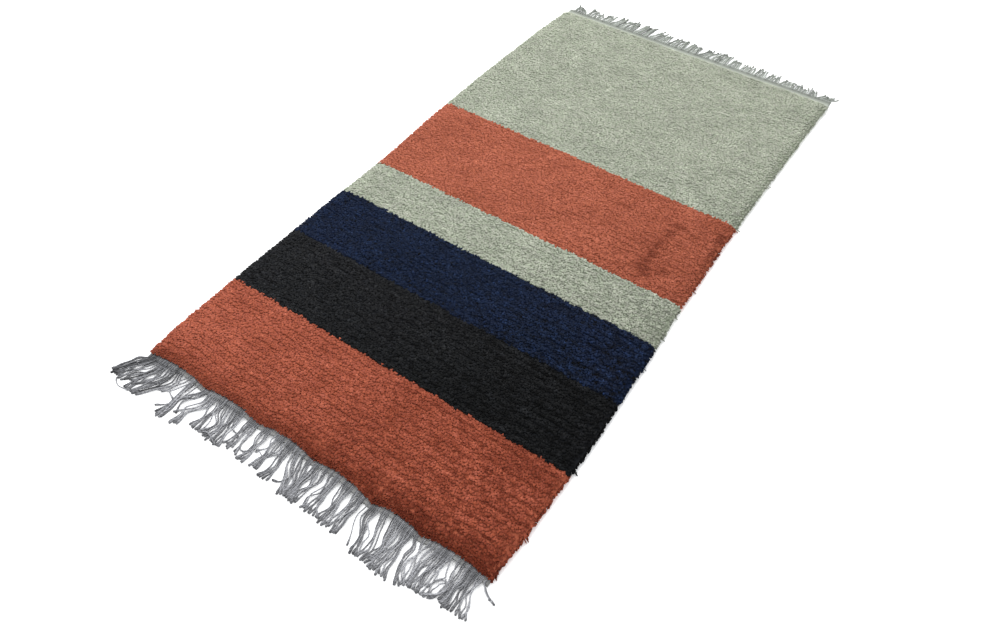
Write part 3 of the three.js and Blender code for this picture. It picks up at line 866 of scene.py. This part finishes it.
# %% Bundles of the fringe
NEAR_BUNDLES = [
    # from, to and number of warp ends, then across, along and width at each stop, the tips last
    (-359, -335, 9, (-359, -708, 22), (-365, -722, 21), (-373, -737, 17), (-381, -752, 15)),
    (-350, -312, 13, (-343, -720, 34), (-353, -734, 25), (-368, -755, 18)),
    (-330, -275, 15, (-302, -718, 46), (-314, -740, 36), (-327, -765, 25)),
    (-325, -285, 8, (-318, -728, 32), (-328, -743, 18), (-338, -752, 12)),
    (-266, -266, 1, (-278, -714, 0), (-276, -722, 0), (-271, -729, 0), (-256, -736, 0)),
    (-254, -254, 1, (-263, -715, 0), (-271, -727, 0), (-281, -731, 0), (-293, -736, 0)),
    (-262, -260, 1, (-272, -713, 0), (-276, -726, 0), (-284, -736, 0)),
    (-257, -251, 3, (-255, -725, 4), (-253, -740, 4), (-251, -771, 8)),
    (-230, -215, 4, (-236, -713, 9), (-245, -726, 6), (-249, -745, 6), (-251, -770, 9)),
    (-248, -248, 1, (-251, -735, 0), (-254, -752, 0), (-263, -769, 0)),
    (-241, -241, 1, (-247, -728, 0), (-256, -747, 0), (-272, -760, 0)),
    (-228, -223, 2, (-231, -716, 3), (-238, -728, 3), (-239, -740, 2), (-231, -749, 4)),
    (-206, -199, 3, (-202, -716, 5), (-207, -727, 4), (-217, -741, 3), (-218, -755, 4), (-219, -768, 8)),
    (-214, -209, 2, (-211, -711, 3), (-220, -724, 3), (-226, -736, 3), (-222, -748, 3), (-225, -772, 5)),
    (-205, -205, 1, (-212, -725, 0), (-225, -739, 0), (-237, -752, 0)),
    (-199, -176, 7, (-187, -717, 15), (-184, -738, 16), (-186, -756, 20)),
    (-181, -155, 8, (-165, -715, 18), (-156, -731, 12), (-161, -757, 26)),
    (-155, -134, 7, (-144, -720, 17), (-142, -741, 15), (-141, -758, 22)),
    (-140, -140, 1, (-138, -718, 0), (-130, -723, 0), (-122, -724, 0), (-114, -730, 0)),
    (-124, -107, 7, (-117, -712, 12), (-116, -733, 11), (-119, -749, 18)),
    (-106, -104, 3, (-104, -722, 3), (-103, -739, 3), (-100, -751, 8)),
    (-103, -103, 1, (-102, -730, 0), (-98, -741, 0), (-91, -741, 0), (-85, -737, 0)),
    (-93, -76, 6, (-84, -712, 13), (-82, -725, 8), (-83, -740, 9), (-85, -758, 12)),
    (-65, -65, 1, (-64, -714, 0), (-68, -722, 0), (-76, -728, 0)),
    (-64, -46, 7, (-56, -714, 14), (-56, -732, 8), (-58, -754, 14)),
    (-44, -42, 1, (-42, -712, 0), (-47, -722, 0), (-56, -727, 0)),
    (-40, -26, 6, (-33, -717, 10), (-30, -736, 10), (-36, -758, 17)),
    (-25, -21, 3, (-17, -720, 3), (-8, -735, 3), (2, -750, 5), (10, -762, 8)),
    (-19, -13, 4, (-7, -719, 5), (4, -737, 5), (9, -760, 8)),
    (-6, -6, 1, (2, -730, 0), (-5, -747, 0), (-19, -752, 0)),
    (-8, -2, 3, (2, -716, 4), (11, -732, 4), (14, -760, 7)),
    (4, 12, 4, (12, -716, 6), (20, -732, 5), (20, -761, 9)),
    (17, 27, 5, (23, -716, 8), (21, -733, 8), (27, -761, 13)),
    (30, 33, 3, (34, -717, 3), (38, -728, 3), (31, -742, 4), (27, -762, 8)),
    (38, 45, 3, (43, -715, 5), (40, -728, 4), (34, -745, 6), (33, -761, 10)),
    (51, 54, 2, (52, -717, 3), (54, -729, 3), (48, -743, 4), (48, -762, 8)),
    (59, 70, 6, (63, -717, 10), (64, -733, 8), (62, -747, 11), (63, -763, 17)),
    (67, 67, 1, (67, -740, 0), (73, -752, 0), (82, -761, 0)),
    (77, 88, 4, (84, -721, 8), (87, -736, 6), (85, -761, 12)),
    (89, 97, 3, (92, -717, 9), (93, -731, 4), (95, -763, 11)),
    (102, 108, 3, (106, -723, 5), (104, -741, 5), (97, -763, 9)),
    (110, 122, 6, (115, -723, 10), (116, -742, 8), (116, -767, 11)),
    (130, 130, 1, (130, -723, 0), (133, -740, 0), (140, -755, 0), (147, -769, 0)),
    (134, 152, 6, (144, -722, 13), (151, -738, 11), (158, -753, 11), (162, -773, 13)),
    (156, 169, 4, (166, -722, 9), (173, -741, 8), (175, -757, 9), (173, -773, 14)),
    (176, 190, 5, (187, -727, 10), (191, -742, 9), (189, -756, 9), (184, -767, 13)),
    (190, 200, 4, (197, -727, 9), (195, -746, 8), (193, -763, 9), (193, -777, 17)),
    (201, 210, 4, (206, -727, 8), (205, -746, 8), (205, -765, 9), (205, -778, 16)),
    (210, 217, 3, (214, -727, 6), (215, -746, 6), (216, -763, 6), (221, -777, 12)),
    (219, 225, 3, (230, -720, 4), (227, -735, 4), (230, -754, 4), (243, -775, 8)),
    (232, 238, 2, (238, -723, 4), (235, -737, 4), (238, -752, 4), (247, -770, 8)),
    (243, 248, 2, (242, -723, 4), (243, -738, 4), (250, -763, 8)),
    (250, 256, 2, (249, -724, 4), (250, -740, 4), (253, -764, 8)),
    (258, 265, 4, (257, -723, 6), (255, -738, 5), (261, -767, 10)),
    (265, 272, 3, (266, -727, 5), (263, -742, 5), (267, -767, 10)),
    (272, 278, 3, (272, -723, 5), (270, -740, 5), (272, -768, 10)),
    (279, 285, 3, (277, -720, 5), (281, -735, 4), (277, -766, 11)),
    (285, 285, 1, (291, -721, 0), (294, -728, 0), (285, -737, 0), (279, -752, 0)),
    (294, 300, 2, (299, -720, 4), (302, -733, 4), (298, -757, 4), (288, -763, 6)),
    (303, 308, 2, (304, -720, 4), (306, -740, 4), (301, -756, 6)),
    (310, 319, 4, (313, -726, 8), (313, -742, 7), (312, -761, 12)),
    (320, 326, 4, (322, -723, 6), (319, -738, 6), (321, -763, 12)),
    (327, 333, 3, (329, -727, 5), (331, -742, 5), (333, -762, 11)),
    (334, 340, 3, (337, -727, 5), (343, -742, 4), (347, -761, 11)),
    (325, 325, 1, (326, -730, 0), (334, -746, 0), (343, -763, 0)),
    (344, 346, 3, (357, -713, 1), (363, -716, 3), (370, -720, 8)),
]
NEAR_LOOPS = [
    [(-367, -760), (-356, -767), (-346, -770), (-336, -768), (-328, -762)],
    [(295, -728), (305, -740), (302, -749), (293, -758), (279, -766)],
    [(279, -756), (284, -742), (295, -733), (306, -738), (304, -750), (292, -759), (280, -763)],
    [(288, -758), (292, -745), (299, -735), (300, -724)],
    [(-75, -731), (-67, -729), (-60, -731), (-54, -728)],
    [(-56, -723), (-47, -717), (-38, -716), (-30, -722)],
    [(-176, -756), (-160, -750), (-146, -754), (-134, -757)],
]
FAR_BUNDLES = [
    # from, to, tip, gather, reach
    (-356, -320, -345, 0.5, 25), (-318, -300, -309, 1, 38), (-300, -276, -288, 1.1, 28),
    (-272, -246, -257, 0.9, 34), (-246, -220, -222, 0.6, 42), (-220, -178, -194, 0.65, 42),
    (-178, -154, -157, 0.5, 44), (-152, -136, -140, 0.7, 45), (-134, -82, -102, 0.56, 37),
    (-82, -34, -53, 0.5, 40), (-34, 4, -13, 0.65, 37), (4, 34, 30, 0.8, 35),
    (38, 82, 65, 0.56, 42), (84, 114, 100, 0.7, 35), (116, 152, 135, 0.75, 33),
    (153, 183, 167, 0.76, 33), (184, 217, 200, 0.75, 31), (218, 256, 239, 0.6, 27),
    (257, 290, 273, 0.84, 25), (291, 313, 299, 0.73, 23), (314, 347, 346, 0.95, 19),
]
STRAND_RADIUS = 1.22
STRAND_PITCH = 3.3
ROOT_DEPTH = 9
LOOSENED = 1.35
CORNER_BUNCH = -280
CORNER_TIPS, CORNER_SHADE = -310, 0.32
NEAR_CURL, FAR_CURL = 1.0, 0.4
LOOP_LIFT = 5.5
FLOOR_GAP = 0.02


def curve_through(stops, samples):
    """Evenly spaced points of a smooth curve that passes through all the stops."""
    stops = np.array(stops, float)
    padded = np.vstack([2 * stops[0] - stops[1], stops, 2 * stops[-1] - stops[-2]])
    points = []
    for a, b, c, d in zip(padded, padded[1:], padded[2:], padded[3:]):
        t = np.linspace(0, 1, 12, endpoint=False)[:, None]
        bend = (2 * a - 5 * b + 4 * c - d) * t**2 + (3 * b - a - 3 * c + d) * t**3
        points.append(0.5 * (2 * b + (c - a) * t + bend))
    points = np.vstack([*points, stops[-1:]])
    far = np.append(0, np.cumsum(np.linalg.norm(np.diff(points, axis=0), axis=1)))
    even = np.linspace(0, far[-1], samples)
    return np.column_stack([np.interp(even, far, points[:, c]) for c in (0, 1)])


def settled(flat, start_height, lift, wavy=NEAR_CURL):
    """A warp end's middle line, which comes down from the band, curls and lies on the floor."""
    share = np.linspace(0, 1, len(flat))
    out = np.append(0, np.cumsum(np.linalg.norm(np.diff(flat, axis=0), axis=1)))
    swing = chance.normal(0, wavy, 4) * (0.6, 0.9, 0.9, 0.7)
    curl = sum(swing[k] * np.sin(share * (k + 1) * 3.7 + 2 * k) for k in range(4)) * smooth(0, 0.35, share)
    down = 1 - smooth(4, 30, out)
    height = STRAND_RADIUS + start_height * down + lift * np.sin(np.pi * share) ** 2
    return np.column_stack([flat[:, 0] + curl, flat[:, 1], height])


def root_at(across, edge):
    """Where a warp end leaves the band, and how high the band lies there."""
    place = rippled(np.array([[across, edge, 0.0]]))[0]
    return place[:2], place[2] + 1.7


def laid(root, edge, stops, lift):
    """The middle line of a warp end from inside the band's edge through its stops."""
    place, height = root_at(root, edge)
    outwards = np.array([0, np.sign(edge)])
    first = [place - ROOT_DEPTH * outwards, place + outwards]
    wavy = NEAR_CURL if edge < 0 else FAR_CURL
    return settled(curve_through([*first, *stops], STRAND_RINGS + 1), height, lift, wavy)


def spread(n, width):
    """Places of n warp ends side by side, from the middle."""
    return (np.arange(n) - (n - 1) / 2) * width / n


def near_paths():
    """The near fringe's middle lines. Thick bundles have lost some of the ends they began with."""
    for start, end, ends, *stops in NEAR_BUNDLES:
        stops = np.array(stops, float)
        corner = start < CORNER_BUNCH
        ends = ends if ends < 5 else round(ends * (0.78 if corner else 0.92))
        for k, offset in enumerate(spread(ends, end - start)):
            places = stops[:, :2].copy()
            places[:, 0] += [spread(ends, width * LOOSENED)[k] for width in stops[:, 2]]
            if ends > 1:
                places += chance.normal(0, 2.2 if corner else 1.1, places.shape) * (1.0, 0.5)
                places[-1, 1] += chance.normal(0, 1.6)
            lift = (k % 3) * 1.2 if ends > 2 else 2.2
            yield laid((start + end) / 2 + offset, NEAR_BAND_EDGE, places, lift)
    for stops in NEAR_LOOPS:
        yield settled(curve_through(stops, STRAND_RINGS + 1), 0.0, LOOP_LIFT)


def far_paths():
    """The far fringe's middle lines, of uneven length."""
    for start, end, tip, gather, reach in FAR_BUNDLES:
        n = max(1, round((end - start) / STRAND_PITCH))
        for k, offset in enumerate(spread(n, end - start)):
            across = tip + offset * (0.3 + 0.75 * gather) + chance.normal(0, 1.0)
            y = FAR_BAND_EDGE + reach - 3 + chance.normal(0, 4.5)
            root = (start + end) / 2 + offset
            halfway = ((root + across) / 2 + chance.normal(0, 0.5), FAR_BAND_EDGE + reach / 2)
            yield laid(root, FAR_BAND_EDGE, [halfway, (across, y)], (k % 3) * 1.1)


# %% Lay the warp ends
def fringe(end, paths):
    """Lays a copy of the warp end along each path and joins the copies."""
    name = end + "_strands"
    all_points, all_faces, all_colours, all_uv = [], [], [], []
    rise = STRAND_POINTS[:, 2]
    ring = np.rint(rise * STRAND_RINGS).astype(int)
    angle = np.arctan2(STRAND_POINTS[:, 1], STRAND_POINTS[:, 0])
    for path in paths:
        ahead = np.gradient(path, axis=0)
        ahead /= np.linalg.norm(ahead, axis=1)[:, None]
        side = np.cross(ahead, (0, 0, 1))
        side /= np.linalg.norm(side, axis=1)[:, None]
        up = np.cross(side, ahead)
        radius = STRAND_RADIUS * chance.uniform(0.8, 1.0)
        local = STRAND_POINTS[:, :2] * radius
        points = path[ring] + side[ring] * local[:, [0]] + up[ring] * local[:, [1]]
        points[:, 2] = np.maximum(points[:, 2], FLOOR_GAP)
        first = sum(len(p) for p in all_points)
        all_points.append(points)
        all_faces += [[v + first for v in face] for face in STRAND_FACES]
        length = np.linalg.norm(np.diff(path, axis=0), axis=1).sum()
        # Painted shade: the ends whose tips lie in the left corner bunch are darkened, as the shade where
        # they lie thick over one another.
        shade = chance.uniform(0.05, 0.95) - CORNER_SHADE * (path[-1, 0] < CORNER_TIPS)
        all_colours.append(np.column_stack([rise, rise * 0 + shade, rise * 0, rise * 0 + 1]))
        all_uv.append(np.column_stack([angle / (2 * np.pi), rise * length]))
    mesh = bpy.data.meshes.new(name)
    mesh.from_pydata((np.vstack(all_points) * MM).tolist(), [], all_faces)
    stored = mesh.color_attributes.new("lay", "FLOAT_COLOR", "POINT")
    stored.data.foreach_set("color", np.vstack(all_colours).astype(np.float32).ravel())
    corner = np.empty(len(mesh.loops), np.int32)
    mesh.loops.foreach_get("vertex_index", corner)
    mesh.uv_layers.new(name="lay_map")
    mesh.uv_layers[0].data.foreach_set("uv", np.vstack(all_uv)[corner].astype(np.float32).ravel())
    mesh.materials.append(STRAND[end])
    piece = bpy.data.objects.new(name, mesh)
    bpy.context.scene.collection.objects.link(piece)
    only(piece)
    bpy.ops.object.mode_set(mode="EDIT")
    bpy.ops.mesh.select_all(action="SELECT")
    bpy.ops.mesh.normals_make_consistent(inside=False)
    bpy.ops.object.mode_set(mode="OBJECT")
    bpy.ops.object.shade_smooth()
    return piece


near_strands = fringe("near", near_paths())
far_strands = fringe("far", far_paths())
print("fringe faces:", len(near_strands.data.polygons), len(far_strands.data.polygons))

# %% [markdown]
# ## Riding on the body and replacing the solids
# Every piece rides on the rug's one body. The ground and the tufts stand for the pile field,
# and a band with its warp ends stands for each fringe solid.

# %% Ride and replace
for piece in [ground, *tufts]:
    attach(piece, "root")
    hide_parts("pile_field")
FRINGES = {"near_fringe": [near_band, near_strands], "far_fringe": [far_band, far_strands]}
for node, pieces in FRINGES.items():
    for piece in pieces:
        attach(piece, "root")
        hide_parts(node)

# %% [markdown]
# ## Floor, light and camera
# The rug lies on a plain pale floor in soft light from all around. A large lamp at the far left
# puts the steep side of each row in slight shade. The camera stands at the near right and looks
# down.

# %% Floor
bpy.ops.object.select_all(action="DESELECT")
bpy.ops.mesh.primitive_plane_add(size=12)
floor = bpy.context.object
floor.name = "floor"
floor_finish = Finish("floor_paper", 0.9)
soft = floor_finish.noise(2.0, 1.0)
floor_finish.set("Base Color", floor_finish.tint((0.96, 0.96, 0.96), 0.99 + soft * 0.02))
floor.data.materials.append(floor_finish.material)

# %% Light
scene = bpy.context.scene
scene.view_settings.view_transform = "Standard"
world = bpy.data.worlds.new("studio")
world.use_nodes = True
world.node_tree.nodes["Background"].inputs["Color"].default_value = (0.98, 0.99, 1, 1)
world.node_tree.nodes["Background"].inputs["Strength"].default_value = 1.42
scene.world = world
bpy.ops.object.light_add(
    type="AREA", location=(-1.7, 1.3, 2.3), rotation=(0, math.radians(-43), math.radians(-37)),
)
lamp = bpy.context.object
lamp.data.shape = "SQUARE"
lamp.data.size = 3.2
lamp.data.energy = 120

# %% Camera
bpy.ops.object.camera_add(
    location=(0.6105, -1.1099, 1.1466),
    rotation=(math.radians(41.007), math.radians(-1.46), math.radians(34.019)),
)
camera = bpy.context.object
camera.data.sensor_width = 36
camera.data.lens = 30.1
scene.camera = camera
